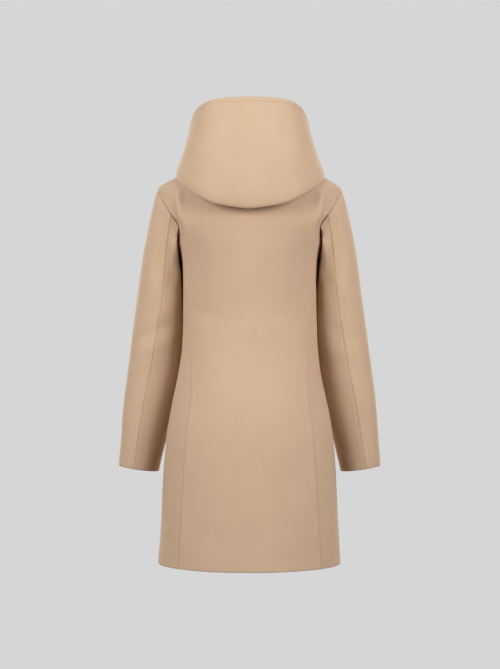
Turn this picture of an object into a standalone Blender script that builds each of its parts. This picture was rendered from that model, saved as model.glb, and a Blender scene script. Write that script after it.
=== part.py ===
"""A hooded coat, filled out as if worn, with its hood lying back. Units are metres, +Z is up.

The origin is between the two high shoulder points, at the base of the neck. The fronts face -Y and the
back faces +Y, so the left sleeve is at +X. The coat's body is one closed form, given as an angle round
the body (0 at the left side, 90 at the centre back, -90 at the centre front) and a height. Every panel is
a patch of that form with its own edges, and each wall is the cloth's thickness to the inside.
"""

import math

import bpy
import bmesh
import numpy as np

# Driving sizes
WALL = 0.003               # cloth and its backing together
SEAM_GAP = 0.0004          # between two sewn edges
FOLD_GAP = 0.0007          # between the hood and its base, whose edges twist most
HEM = -0.885               # height of the coat's hem
NECK_HALF_WIDTH = 0.075    # high shoulder point from the centre line
NECK_FRONT_DROP = 0.075    # neckline at the centre front, below the high shoulder points
NECK_BACK_DROP = 0.012     # and at the centre back
FLAP_HALF_WIDTH = 0.033    # flap that covers the front opening, from the centre line
FLAP_TOP = 0.012           # its top edge, below the neckline
FLAP_LIFT = 0.0008         # over the fronts
FLAP_WALL = 0.0022
RIM_BAND = 0.011           # height of the hem band round the hood's opening
RIM_WALL = 0.0042          # that band is folded, so it is thicker
HOOD_NECK_LIFT = 0.0013    # hood base over the coat's neck edge
HOOD_END_GAP = 0.0012      # each front end of the hood from the centre line
FOLD_REACH = 0.016         # half width of the rounded fold under the hood
BADGE_RADIUS = 0.011
BADGE_LIFT = 0.0004
BADGE_WALL = 0.0015

# How finely each piece is divided
SEAM_STEPS = 15
BACK_STEPS = 10
FRONT_STEPS = 6
FLAP_STEPS = 4
CAP_STEPS = 5
ARM_STEPS = 10
BASE_PARTS = (0.0, 0.28, 0.54, 0.76, 0.90, 1.0)                 # shares of the hood base's depth
RISE_PARTS = (0.0, 0.06, 0.14, 0.26, 0.40, 0.55, 0.70, 0.85, 1.0)   # and of the outer layer's
BADGE_STEPS = 16

# The body's form: half width at the sides, and reach to the back and to the front of the middle line.
# Over the armhole's lowest point the widths are those of the form without its arms.
FORM = {
    "height": (-0.885, -0.800, -0.700, -0.610, -0.540, -0.470, -0.400, -0.330, -0.262, -0.218,
               -0.175, -0.148, -0.121, -0.094, -0.060, -0.052, -0.044, -0.034, -0.016, 0.000),
    "width": (0.2015, 0.1965, 0.1915, 0.1845, 0.1730, 0.1585, 0.1500, 0.1470, 0.1475, 0.1500,
              0.1640, 0.1770, 0.1905, 0.2000, 0.2045, 0.1970, 0.1850, 0.1665, 0.1200, 0.0750),
    "back": (0.136, 0.134, 0.132, 0.129, 0.123, 0.113, 0.105, 0.102, 0.108, 0.113,
             0.117, 0.117, 0.114, 0.107, 0.096, 0.093, 0.090, 0.085, 0.075, 0.064),
    "front": (0.148, 0.145, 0.141, 0.137, 0.132, 0.125, 0.119, 0.120, 0.134, 0.140,
              0.132, 0.122, 0.110, 0.099, 0.084, 0.080, 0.077, 0.073, 0.066, 0.058),
    "middle": (0.000, 0.000, 0.000, 0.000, 0.000, 0.000, 0.000, 0.000, 0.000, 0.000,
               0.000, 0.000, -0.001, -0.002, -0.004, -0.004, -0.004, -0.004, -0.004, -0.004),
}

# The armhole, from the shoulder tip down the back, under the arm and up the front
ARMHOLE = {
    "angle": (0, 6, 11.5, 16.5, 20.5, 24, 27, 29.5, 29, 21, 12, 4.5, -1,
              -6, -13, -22, -30, -35, -36.5, -34.5, -30, -24, -17, -9),
    "height": (-0.0600, -0.0625, -0.069, -0.079, -0.092, -0.106, -0.121, -0.137, -0.151, -0.164, -0.177,
               -0.191, -0.204, -0.2145, -0.2125, -0.200, -0.184, -0.165, -0.146, -0.127, -0.109, -0.093,
               -0.078, -0.0655),
}
BACK_SEAM_AT = 10          # where the side panel's seams and the sleeve's seams meet the armhole
UNDERARM_AT = 13
FRONT_SEAM_AT = 16
SLEEVE_BACK_SEAM_AT = 6
SLEEVE_FRONT_SEAM_AT = 18

# The two long seams that bound the side panel
LONG_SEAMS = {
    "height": (-0.885, -0.700, -0.600, -0.520, -0.480, -0.430, -0.345, -0.262, -0.182),
    "back_angle": (39.8, 41.0, 41.6, 41.0, 38.5, 33.5, 26.0, 17.5, 12.0),
    "front_angle": (-38.0, -38.0, -37.0, -36.0, -35.0, -34.0, -32.0, -30.0, -30.0),
}

FRONT_LOW = -0.30          # the neckline's dip is spread over the panels down to here

# Turns round the neck at which the hood's sections stand, closer where the neckline bends most
HOOD_TURNS = (-90, -76, -62, -48, -36, -25, -16, -8, 0, 11, 24, 40, 57, 74, 90)

# The shoulder seam from the tip to the neck
SHOULDER_HEIGHTS = (-0.060, -0.052, -0.044, -0.034, -0.023, -0.011, 0.000)

# The left sleeve below its cap: middle line, half sizes across and front to back, and where its seams run
SLEEVE = {
    "height": (-0.682, -0.600, -0.540, -0.470, -0.400, -0.330, -0.262),
    "across": (0.2505, 0.2382, 0.2285, 0.2163, 0.2067, 0.2008, 0.1967),
    "forward": (-0.064, -0.058, -0.053, -0.048, -0.042, -0.037, -0.034),
    "half_width": (0.0458, 0.0517, 0.0560, 0.0588, 0.0587, 0.0552, 0.0496),
    "half_depth": (0.0445, 0.0470, 0.0485, 0.0500, 0.0520, 0.0560, 0.0600),
    "back_seam": (79.5, 81, 81.5, 84.5, 87.5, 93.5, 99.5),
    "front_seam": (256, 255, 254, 253, 252, 250, 248),
}
CAP_START = (0.45, 0.10, -0.80)   # how the sleeve leaves the armhole: outwards, to back or front, down
CAP_PULL = 0.40

# The left half of the hood, from the centre front to the centre back. At each neck angle: the lowest line
# of the rounded fold, the rim of the opening, and how far the outer layer swells out between them.
HOOD = {
    "angle": (-90, -62, -34, -12, 8, 28, 46, 66, 90),
    "fold_x": (0.000, 0.056, 0.106, 0.144, 0.160, 0.149, 0.122, 0.080, 0.000),
    "fold_y": (-0.106, -0.108, -0.084, -0.034, 0.032, 0.078, 0.108, 0.132, 0.142),
    "fold_z": (-0.068, -0.064, -0.046, -0.022, -0.033, -0.056, -0.078, -0.101, -0.116),
    "rim_x": (0.000, 0.062, 0.106, 0.126, 0.131, 0.122, 0.104, 0.070, 0.000),
    "rim_y": (-0.122, -0.112, -0.080, -0.036, 0.012, 0.052, 0.082, 0.104, 0.113),
    "rim_z": (-0.014, 0.000, 0.028, 0.056, 0.081, 0.103, 0.117, 0.1262, 0.1292),
    "swell": (0.004, 0.004, 0.000, -0.006, -0.010, 0.000, 0.010, 0.018, 0.022),
}

# The plain badge sewn to the left upper sleeve: its column round the sleeve and its height
BADGE_ANGLE = -24
BADGE_HEIGHT = -0.186

CAMEL = (0.560, 0.385, 0.260, 1.0)
CAMEL_SHADE = (0.500, 0.340, 0.228, 1.0)
BADGE_BROWN = (0.300, 0.230, 0.180, 1.0)


def clear_scene():
    """Take away whatever the scene holds before the coat is made."""
    for item in list(bpy.data.objects):
        bpy.data.objects.remove(item, do_unlink=True)


def smooth(table, column, at, key="height"):
    """One column of a table on a smooth curve through its rows that never overshoots them."""
    place = np.asarray(table[key], dtype=float)
    value = np.asarray(table[column], dtype=float)
    step = np.diff(place)
    slope = np.diff(value) / step
    before, after = slope[:-1], slope[1:]
    same = before * after > 0
    inner = np.zeros_like(before)
    inner[same] = 2.0 * before[same] * after[same] / (before[same] + after[same])
    tangent = np.concatenate(([slope[0]], inner, [slope[-1]]))
    at = np.clip(np.asarray(at, dtype=float), place[0], place[-1])
    row = np.clip(np.searchsorted(place, at, side="right") - 1, 0, len(step) - 1)
    part = (at - place[row]) / step[row]
    square, cube = part ** 2, part ** 3
    return ((2 * cube - 3 * square + 1) * value[row] + (cube - 2 * square + part) * step[row] * tangent[row]
            + (3 * square - 2 * cube) * value[row + 1] + (cube - square) * step[row] * tangent[row + 1])


def unit(vectors):
    """Vectors of length one."""
    return vectors / np.linalg.norm(vectors, axis=-1, keepdims=True)


def form_point(angle, height):
    """A point of the body's form: half an ellipse to the back and half an ellipse to the front."""
    turn = np.radians(angle)
    reach = np.where(np.sin(turn) >= 0, smooth(FORM, "back", height), smooth(FORM, "front", height))
    x = smooth(FORM, "width", height) * np.cos(turn)
    y = smooth(FORM, "middle", height) + reach * np.sin(turn)
    return np.stack(np.broadcast_arrays(x, y, height), axis=-1)


def form(angle, height):
    """The form's point and its outward normal there, from its slopes round and up."""
    round_step, up_step = 0.25, 0.0008
    angle, height = np.broadcast_arrays(np.asarray(angle, dtype=float), np.asarray(height, dtype=float))
    around = form_point(angle + round_step, height) - form_point(angle - round_step, height)
    low = np.maximum(height - up_step, HEM)
    high = np.minimum(height + up_step, 0.0)
    upward = form_point(angle, high) - form_point(angle, low)
    return form_point(angle, height), unit(np.cross(around, upward))


def neck_edge(turn):
    """Angle and height of the neckline at a turn round the neck: -90 centre front, 0 side, 90 back."""
    sine = np.sin(np.radians(turn))
    height = np.where(sine < 0, -NECK_FRONT_DROP * np.abs(sine) ** 1.5, -NECK_BACK_DROP * sine ** 2)
    across = NECK_HALF_WIDTH * np.cos(np.radians(turn)) / smooth(FORM, "width", height)
    angle = np.degrees(np.arccos(np.clip(across, -1.0, 1.0)))
    return np.where(sine < 0, -angle, angle), height


def neck_stations(side, count):
    """Neckline stations from the centre line to the high shoulder point, even in the form's angle."""
    turns = np.linspace(side * 90.0, 0.0, 721)
    angles, heights = neck_edge(turns)
    wanted = np.linspace(side * 90.0, 0.0, count + 1)
    order = np.argsort(angles)
    return np.stack((wanted, np.interp(wanted, angles[order], heights[order])), axis=-1)


def armhole_stations(first, last):
    """Angle and height of the armhole's stations, from one to another."""
    places = np.arange(first, last + 1) % len(ARMHOLE["angle"])
    angle = np.asarray(ARMHOLE["angle"], dtype=float)[places]
    height = np.asarray(ARMHOLE["height"], dtype=float)[places]
    return np.stack((angle, height), axis=-1)


def outer_edge(side):
    """A back or front panel's outer edge: long seam, armhole, then the shoulder seam to the neck."""
    if side > 0:
        hole = armhole_stations(0, BACK_SEAM_AT)[::-1]
        column = "back_angle"
    else:
        hole = armhole_stations(FRONT_SEAM_AT, len(ARMHOLE["angle"]))
        column = "front_angle"
    heights = np.linspace(HEM, hole[0, 1], SEAM_STEPS + 1)
    seam = np.stack((smooth(LONG_SEAMS, column, heights), heights), axis=-1)
    seam[-1] = hole[0]
    shoulder = np.stack((np.zeros(len(SHOULDER_HEIGHTS)), np.asarray(SHOULDER_HEIGHTS)), axis=-1)
    return np.concatenate((seam, hole[1:], shoulder[1:]))


def patch(left, right, bottom, top, low=FRONT_LOW):
    """A Coons patch between four edges, whose top edge is felt only above the height called low."""
    across = np.linspace(0.0, 1.0, len(bottom))[None, :, None]
    rise = np.clip((right[:, 1] - low) / (right[-1, 1] - low), 0.0, 1.0)
    felt = (rise * rise * (3 - 2 * rise))[:, None, None]
    sides = (1 - across) * left[:, None] + across * right[:, None]
    foot = bottom[None] - ((1 - across) * left[None, :1] + across * right[None, :1])
    head = top[None] - ((1 - across) * left[None, -1:] + across * right[None, -1:])
    return sides + (1 - felt) * foot + felt * head


def bisector(grid, axis):
    """Direction of the grid's lines at each point, half way between the stretches before and after it."""
    runs = unit(np.diff(grid, axis=axis))
    first = np.take(runs, [0], axis=axis)
    last = np.take(runs, [-1], axis=axis)
    return unit(np.concatenate((first, runs), axis=axis) + np.concatenate((runs, last), axis=axis))


def tuck(points, normals, gap):
    """Draw a panel's four edges in along the cloth by half a seam's gap."""
    moved = points.copy()
    for axis in (0, 1):
        line = bisector(points, 1 - axis)
        for edge, inward in ((0, 1), (-1, -2)):
            at = (edge, slice(None)) if axis == 0 else (slice(None), edge)
            beside = (inward, slice(None)) if axis == 0 else (slice(None), inward)
            step = unit(np.cross(normals[at], line[at]))
            facing = np.sign(np.sum(step * (points[beside] - points[at]), axis=-1, keepdims=True))
            moved[at] += gap * facing * step
    return moved


def material(name, colour, roughness):
    """A plain cloth finish."""
    finish = bpy.data.materials.new(name)
    finish.use_nodes = True
    shader = finish.node_tree.nodes["Principled BSDF"]
    shader.inputs["Base Color"].default_value = colour
    shader.inputs["Roughness"].default_value = roughness
    shader.inputs["Metallic"].default_value = 0.0
    return finish


def make_object(name, vertices, faces, finish):
    """A closed mesh as an object, turned the right way out if its volume says that it isn't."""
    mesh = bpy.data.meshes.new(name)
    shape = bmesh.new()
    corners = [shape.verts.new(vertex) for vertex in vertices]
    for face in faces:
        shape.faces.new([corners[index] for index in face])
    if shape.calc_volume(signed=True) < 0:
        bmesh.ops.reverse_faces(shape, faces=shape.faces)
    shape.to_mesh(mesh)
    shape.free()
    mesh.shade_smooth()
    mesh.set_sharp_from_angle(angle=math.radians(50))
    mesh.materials.append(finish)
    item = bpy.data.objects.new(name, mesh)
    bpy.context.scene.collection.objects.link(item)
    return item


def shell(name, points, normals, wall, finish, gap=SEAM_GAP):
    """Give a grid of points a wall to the inside and close it along its four edges."""
    rows, columns = points.shape[:2]
    outer = tuck(points, normals, gap / 2)
    inner = outer - wall * normals
    vertices = np.concatenate((outer.reshape(-1, 3), inner.reshape(-1, 3)))
    below = rows * columns
    faces = []
    for row in range(rows - 1):
        for column in range(columns - 1):
            a = row * columns + column
            b, c, d = a + 1, a + columns + 1, a + columns
            faces.append((a, b, c, d))
            faces.append((below + d, below + c, below + b, below + a))
    rim = [column for column in range(columns)]
    rim += [row * columns + columns - 1 for row in range(1, rows)]
    rim += [(rows - 1) * columns + column for column in range(columns - 2, -1, -1)]
    rim += [row * columns for row in range(rows - 2, 0, -1)]
    for start, end in zip(rim, rim[1:] + rim[:1]):
        faces.append((end, start, below + start, below + end))
    return make_object(name, vertices, faces, finish)


def mirrored(points, normals):
    """The right hand twin of a left hand piece."""
    flip = np.array((-1.0, 1.0, 1.0))
    return points * flip, normals * flip


def across_body(edge):
    """The same edge on the other side of the centre line."""
    return np.stack((180.0 - edge[:, 0], edge[:, 1]), axis=-1)


def back_panel(finish):
    """The back, one piece from side panel to side panel, armhole to armhole."""
    right = outer_edge(1)
    left = across_body(right)
    half = neck_stations(1, BACK_STEPS // 2)
    top = np.concatenate((across_body(half[::-1]), half[1:]))
    bottom = np.stack((np.linspace(left[0, 0], right[0, 0], BACK_STEPS + 1),
                       np.full(BACK_STEPS + 1, HEM)), axis=-1)
    grid = patch(left, right, bottom, top)
    points, normals = form(grid[..., 0], grid[..., 1])
    shell("back", points, normals, WALL, finish)


def side_panels(finish):
    """The side panels, each under an arm between the back and a front."""
    back_edge = outer_edge(1)[:SEAM_STEPS + 1]
    front_edge = outer_edge(-1)[:SEAM_STEPS + 1]
    top = armhole_stations(BACK_SEAM_AT, FRONT_SEAM_AT)
    bottom = np.stack((np.linspace(back_edge[0, 0], front_edge[0, 0], len(top)),
                       np.full(len(top), HEM)), axis=-1)
    grid = patch(back_edge, front_edge, bottom, top, low=-0.33)
    points, normals = form(grid[..., 0], grid[..., 1])
    shell("side_left", points, normals, WALL, finish)
    shell("side_right", *mirrored(points, normals), WALL, finish)


def centre_edge(outer, top_height):
    """The centre front line, with a station for each one of the outer edge."""
    rise = np.clip((outer[:, 1] - FRONT_LOW) / (outer[-1, 1] - FRONT_LOW), 0.0, 1.0)
    felt = rise * rise * (3 - 2 * rise)
    return np.stack((np.full(len(outer), -90.0), outer[:, 1] + felt * top_height), axis=-1)


def front_panels(finish):
    """The fronts, which meet edge to edge at the centre."""
    outer = outer_edge(-1)
    top = neck_stations(-1, FRONT_STEPS)
    centre = centre_edge(outer, top[0, 1])
    bottom = np.stack((np.linspace(-90.0, outer[0, 0], FRONT_STEPS + 1),
                       np.full(FRONT_STEPS + 1, HEM)), axis=-1)
    grid = patch(centre, outer, bottom, top)
    points, normals = form(grid[..., 0], grid[..., 1])
    shell("front_left", points, normals, WALL, finish)
    shell("front_right", *mirrored(points, normals), WALL, finish)


def front_flap(finish):
    """The flap over the front opening: a strip of the form, moved out over both fronts."""
    outer = outer_edge(-1)
    heights = centre_edge(outer, -NECK_FRONT_DROP)[:, 1]
    heights = heights[heights < -NECK_FRONT_DROP - FLAP_TOP - 0.004]
    heights = np.append(heights, -NECK_FRONT_DROP - FLAP_TOP)
    reach = np.degrees(np.arcsin(FLAP_HALF_WIDTH / smooth(FORM, "width", heights)))
    across = np.linspace(-1.0, 1.0, FLAP_STEPS + 1)
    points, normals = form(-90.0 + reach[:, None] * across[None, :],
                           np.broadcast_to(heights[:, None], (len(heights), FLAP_STEPS + 1)))
    shell("front_flap", points + (FLAP_LIFT + FLAP_WALL) * normals, normals, FLAP_WALL, finish)


def sleeve_middle(height):
    """The middle of the left sleeve at a height."""
    return np.stack((smooth(SLEEVE, "across", height), smooth(SLEEVE, "forward", height), height), axis=-1)


def sleeve_ring(turn, height):
    """A point of the sleeve below its cap: an ellipse whose across axis is square to the middle line."""
    step = 0.004
    high = np.minimum(height + step, SLEEVE["height"][-1])
    low = np.maximum(height - step, SLEEVE["height"][0])
    run = unit(sleeve_middle(low) - sleeve_middle(high))
    across = unit(np.array((1.0, 0.0, 0.0)) - run * run[..., :1])
    deep = np.array((0.0, 1.0, 0.0))
    turn = np.radians(turn)[..., None]
    half_width = smooth(SLEEVE, "half_width", height)[..., None]
    half_depth = smooth(SLEEVE, "half_depth", height)[..., None]
    return sleeve_middle(height) + half_width * np.cos(turn) * across + half_depth * np.sin(turn) * deep


def sleeve_turns(height):
    """Turn of each of the sleeve's columns, so that its seam columns follow its seams."""
    count = len(ARMHOLE["angle"])
    places = np.array((0, SLEEVE_BACK_SEAM_AT, UNDERARM_AT, SLEEVE_FRONT_SEAM_AT, count))
    knots = (0.0, float(smooth(SLEEVE, "back_seam", height)), 180.0,
             float(smooth(SLEEVE, "front_seam", height)), 360.0)
    return np.interp(np.arange(count), places, knots)


def sleeve_grid():
    """All of the left sleeve as rings from the armhole to the cuff, with outward normals."""
    hole = armhole_stations(0, len(ARMHOLE["angle"]) - 1)
    top, _ = form(hole[:, 0], hole[:, 1])
    upper = SLEEVE["height"][-1]
    turns = sleeve_turns(upper)
    foot = sleeve_ring(turns, np.full(len(turns), upper))
    beside = np.radians(turns)
    leave = unit(np.stack((np.full(len(turns), CAP_START[0]), CAP_START[1] * np.sin(beside),
                           np.full(len(turns), CAP_START[2])), axis=-1))
    run = unit(sleeve_middle(np.array(upper - 0.02)) - sleeve_middle(np.array(upper)))
    reach = CAP_PULL * np.linalg.norm(foot - top, axis=-1, keepdims=True)
    rings = []
    for part in np.linspace(0.0, 1.0, CAP_STEPS + 1):
        square, cube = part ** 2, part ** 3
        rings.append((2 * cube - 3 * square + 1) * top + (cube - 2 * square + part) * reach * leave
                     + (3 * square - 2 * cube) * foot + (cube - square) * reach * run)
    for height in np.linspace(upper, SLEEVE["height"][0], ARM_STEPS + 1)[1:]:
        turns = sleeve_turns(height)
        rings.append(sleeve_ring(turns, np.full(len(turns), height)))
    grid = np.stack(rings)
    along = np.gradient(grid, axis=0)
    around = np.roll(grid, -1, axis=1) - np.roll(grid, 1, axis=1)
    return grid, unit(np.cross(along, around))


def sleeves(finish, shade):
    """Both sleeves, each an upper and an under piece joined along a back and a front seam."""
    grid, normals = sleeve_grid()
    count = grid.shape[1]
    under = np.arange(SLEEVE_BACK_SEAM_AT, SLEEVE_FRONT_SEAM_AT + 1)
    upper = np.arange(SLEEVE_FRONT_SEAM_AT, count + SLEEVE_BACK_SEAM_AT + 1) % count
    for part, columns, colour in (("upper", upper, finish), ("under", under, shade)):
        left = grid[:, columns], normals[:, columns]
        shell("sleeve_left_" + part, *left, WALL, colour)
        shell("sleeve_right_" + part, *mirrored(*left), WALL, colour)


def badge(finish):
    """A small plain round badge on the left upper sleeve, made from the sleeve's own points."""
    grid, normals = sleeve_grid()
    count = grid.shape[1]
    ring = int(np.argmin(np.abs(grid[:, 0, 2] - BADGE_HEIGHT)))
    column = int(np.argmin(np.abs(sleeve_turns(SLEEVE["height"][-1]) - 360.0 - BADGE_ANGLE))) % count
    middle = grid[ring, column]
    outward = normals[ring, column]
    up = unit(grid[ring - 1, column] - grid[ring + 1, column])
    beside = np.cross(up, outward)
    vertices = []
    for lift in (BADGE_LIFT, BADGE_LIFT + BADGE_WALL):
        for step in range(BADGE_STEPS):
            turn = 2 * math.pi * step / BADGE_STEPS
            vertices.append(middle + lift * outward
                            + BADGE_RADIUS * (math.cos(turn) * beside + math.sin(turn) * up))
    low = list(range(BADGE_STEPS))
    high = [index + BADGE_STEPS for index in low]
    faces = [tuple(reversed(low)), tuple(high)]
    for start, end in zip(low, low[1:] + low[:1]):
        faces.append((start, end, end + BADGE_STEPS, start + BADGE_STEPS))
    make_object("sleeve_badge", vertices, faces, finish)


def bezier(points, part):
    """A point of the cubic curve with four control points."""
    a, b, c, d = points
    rest = 1 - part
    return rest ** 3 * a + 3 * rest ** 2 * part * b + 3 * rest * part ** 2 * c + part ** 3 * d


def along_line(line, shares):
    """Points of a line at shares of its length."""
    far = np.concatenate(([0.0], np.cumsum(np.linalg.norm(np.diff(line, axis=0), axis=-1))))
    wanted = np.asarray(shares) * far[-1]
    return np.stack([np.interp(wanted, far, line[:, axis]) for axis in range(3)], axis=-1)


def hood_rib(turn):
    """One section of the hood: out from the neck seam, round the fold, and up to the rim."""
    def row(column):
        return float(smooth(HOOD, column, turn, key="angle"))
    angle, height = neck_edge(np.array(float(turn)))
    neck, normal = form(angle, height)
    neck = neck + HOOD_NECK_LIFT * normal
    fold = np.array((row("fold_x"), row("fold_y"), row("fold_z")))
    rim = np.array((row("rim_x"), row("rim_y"), row("rim_z")))
    out = fold - neck
    out[2] = 0.0
    out = unit(out)
    up = np.array((0.0, 0.0, 1.0))
    reach = min(FOLD_REACH, 0.45 * float(np.linalg.norm((fold - neck)[:2])))
    parts = np.linspace(0.0, 1.0, 41)[:, None]
    span = float(np.linalg.norm(fold - neck))
    under = bezier((neck, neck + 0.16 * span * normal + 0.24 * span * out + 0.14 * span * up,
                    fold - 1.6 * reach * out, fold), parts)
    bulge = rim + 0.45 * (fold - rim) + row("swell") * out
    outer = bezier((fold, fold + reach * out, bulge, rim), parts)
    length = float(np.sum(np.linalg.norm(np.diff(outer, axis=0), axis=-1)))
    band = 1 - RIM_BAND / length
    rise = np.asarray(RISE_PARTS) * band
    return np.concatenate((along_line(under, BASE_PARTS), along_line(outer, rise[1:]),
                           along_line(outer, (1.0,))))


def hood_pieces(finish, shade):
    """The hood lying down: its base, its outer piece and the band round its opening."""
    left = np.stack([hood_rib(turn) for turn in HOOD_TURNS])
    left[0, :, 0] = HOOD_END_GAP
    right = left[::-1] * np.array((-1.0, 1.0, 1.0))
    grid = np.concatenate((left, right[1:]))
    normals = unit(np.cross(bisector(grid, 0), bisector(grid, 1)))
    fold = len(BASE_PARTS) - 1
    rim = fold + len(RISE_PARTS) - 1
    shell("hood_base", grid[:, :fold + 1], normals[:, :fold + 1], WALL, shade, FOLD_GAP)
    shell("hood", grid[:, fold:rim + 1], normals[:, fold:rim + 1], WALL, finish, FOLD_GAP)
    shell("hood_rim", grid[:, rim:], normals[:, rim:], RIM_WALL, finish)


def main():
    clear_scene()
    cloth = material("camel_cloth", CAMEL, 0.90)
    under_cloth = material("camel_under_cloth", CAMEL_SHADE, 0.90)
    badge_cloth = material("badge_cloth", BADGE_BROWN, 0.80)
    back_panel(cloth)
    side_panels(under_cloth)
    front_panels(cloth)
    front_flap(cloth)
    sleeves(cloth, under_cloth)
    badge(badge_cloth)
    hood_pieces(cloth, under_cloth)


main()
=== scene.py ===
import bpy
import math
import numpy as np
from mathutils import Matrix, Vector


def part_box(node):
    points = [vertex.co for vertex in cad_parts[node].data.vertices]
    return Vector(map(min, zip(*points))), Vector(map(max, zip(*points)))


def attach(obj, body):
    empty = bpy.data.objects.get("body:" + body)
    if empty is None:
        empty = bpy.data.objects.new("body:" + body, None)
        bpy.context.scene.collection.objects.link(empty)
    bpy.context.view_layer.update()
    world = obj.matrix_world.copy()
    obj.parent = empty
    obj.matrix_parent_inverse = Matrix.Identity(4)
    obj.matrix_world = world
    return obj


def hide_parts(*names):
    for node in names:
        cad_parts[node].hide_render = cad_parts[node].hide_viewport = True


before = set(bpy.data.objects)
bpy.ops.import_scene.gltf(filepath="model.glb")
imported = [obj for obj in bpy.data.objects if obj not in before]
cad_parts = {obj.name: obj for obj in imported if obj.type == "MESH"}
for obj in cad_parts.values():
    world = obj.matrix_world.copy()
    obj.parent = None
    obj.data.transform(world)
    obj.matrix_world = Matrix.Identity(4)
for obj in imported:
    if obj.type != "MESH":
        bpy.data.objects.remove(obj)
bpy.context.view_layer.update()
print("coat frame loaded:", len(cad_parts), "nodes")

# The coat's own sizes, in metres: origin at the base of the neck, fronts to -Y, left sleeve at +X
coat = {
    "wall": 0.003,              # cloth and backing together
    "seamRoom": 0.00012,        # each sewn edge drawn back from the seam
    "hem": -0.885,
    "neckHalf": 0.075,
    "neckFront": 0.075,         # neckline below the high shoulder points, front
    "neckBack": 0.012,          # and back
    "frontLow": -0.30,          # the neckline's dip is felt down to here
    "shoulder": (-0.105, -0.070),   # from softly blurred sections to sections almost as drawn
    "angleStep": 0.3,           # steps for slopes: round the body in degrees, and up
    "heightStep": 0.001,
    "sleeveStep": 0.006,
}

# Half width, reach to the back and to the front, and the middle line's place, by height
bodyForm = {
    "height": (-0.885, -0.800, -0.700, -0.610, -0.540, -0.470, -0.400, -0.330, -0.262, -0.218,
               -0.175, -0.148, -0.121, -0.094, -0.060, -0.052, -0.044, -0.034, -0.016, 0.000),
    "width": (0.2015, 0.1965, 0.1915, 0.1845, 0.1730, 0.1585, 0.1500, 0.1470, 0.1475, 0.1500,
              0.1640, 0.1770, 0.1905, 0.2000, 0.2045, 0.1970, 0.1850, 0.1665, 0.1200, 0.0750),
    "back": (0.136, 0.134, 0.132, 0.129, 0.123, 0.113, 0.105, 0.102, 0.108, 0.113,
             0.117, 0.117, 0.114, 0.107, 0.096, 0.093, 0.090, 0.085, 0.075, 0.064),
    "front": (0.148, 0.145, 0.141, 0.137, 0.132, 0.125, 0.119, 0.120, 0.134, 0.140,
              0.132, 0.122, 0.110, 0.099, 0.084, 0.080, 0.077, 0.073, 0.066, 0.058),
    "middle": (0.0,) * 12 + (-0.001, -0.002) + (-0.004,) * 6,
}

# The armhole's ring from the shoulder tip down the back, under the arm and up the front
armhole = {
    "angle": (0, 6, 11.5, 16.5, 20.5, 24, 27, 29.5, 29, 21, 12, 4.5, -1,
              -6, -13, -22, -30, -35, -36.5, -34.5, -30, -24, -17, -9),
    "height": (-0.0600, -0.0625, -0.069, -0.079, -0.092, -0.106, -0.121, -0.137, -0.151, -0.164, -0.177,
               -0.191, -0.204, -0.2145, -0.2125, -0.200, -0.184, -0.165, -0.146, -0.127, -0.109, -0.093,
               -0.078, -0.0655),
}
ringCount = len(armhole["angle"])
ringAt = {"backSeam": 10, "frontSeam": 16, "sleeveBack": 6, "underArm": 13, "sleeveFront": 18}

longSeams = {
    "height": (-0.885, -0.700, -0.600, -0.520, -0.480, -0.430, -0.345, -0.262, -0.182),
    "backAngle": (39.8, 41.0, 41.6, 41.0, 38.5, 33.5, 26.0, 17.5, 12.0),
    "frontAngle": (-38.0, -38.0, -37.0, -36.0, -35.0, -34.0, -32.0, -30.0, -30.0),
}

sleeveForm = {
    "height": (-0.682, -0.600, -0.540, -0.470, -0.400, -0.330, -0.262),
    "across": (0.2505, 0.2382, 0.2285, 0.2163, 0.2067, 0.2008, 0.1967),
    "forward": (-0.064, -0.058, -0.053, -0.048, -0.042, -0.037, -0.034),
    "halfWidth": (0.0458, 0.0517, 0.0560, 0.0588, 0.0587, 0.0552, 0.0496),
    "halfDepth": (0.0445, 0.0470, 0.0485, 0.0500, 0.0520, 0.0560, 0.0600),
    "backSeam": (79.5, 81, 81.5, 84.5, 87.5, 93.5, 99.5),
    "frontSeam": (256, 255, 254, 253, 252, 250, 248),
}

hoodForm = {
    "angle": (-90, -62, -34, -12, 8, 28, 46, 66, 90),
    "foldX": (0.000, 0.056, 0.106, 0.144, 0.160, 0.149, 0.122, 0.080, 0.000),
    "foldY": (-0.106, -0.108, -0.084, -0.034, 0.032, 0.078, 0.108, 0.132, 0.142),
    "foldZ": (-0.068, -0.064, -0.046, -0.022, -0.033, -0.056, -0.078, -0.101, -0.116),
    "rimX": (0.000, 0.062, 0.106, 0.126, 0.131, 0.122, 0.104, 0.070, 0.000),
    "rimY": (-0.122, -0.112, -0.080, -0.036, 0.012, 0.052, 0.082, 0.104, 0.113),
    "rimZ": (-0.014, 0.000, 0.028, 0.056, 0.081, 0.103, 0.117, 0.1262, 0.1292),
    "swell": (0.004, 0.004, 0.000, -0.006, -0.010, 0.000, 0.010, 0.018, 0.022),
}


# 0 below low, 1 above high, and 3t^2 - 2t^3 between them
def smoothStep(value, low, high):
    part = np.clip((value - low) / (high - low), 0.0, 1.0)
    return part * part * (3 - 2 * part)


# Each vector over its own length
def unit(vectors):
    return vectors / np.linalg.norm(vectors, axis=-1, keepdims=True)


# Columns side by side, any of them one number for all rows
def joined(*columns):
    return np.stack(np.broadcast_arrays(*columns), axis=-1)


# Cubic from a to b with these slopes at its ends
def hermite(part, a, slopeA, b, slopeB):
    square, cube = part ** 2, part ** 3
    return ((2 * cube - 3 * square + 1) * a + (cube - 2 * square + part) * slopeA
            + (3 * square - 2 * cube) * b + (cube - square) * slopeB)


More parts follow.
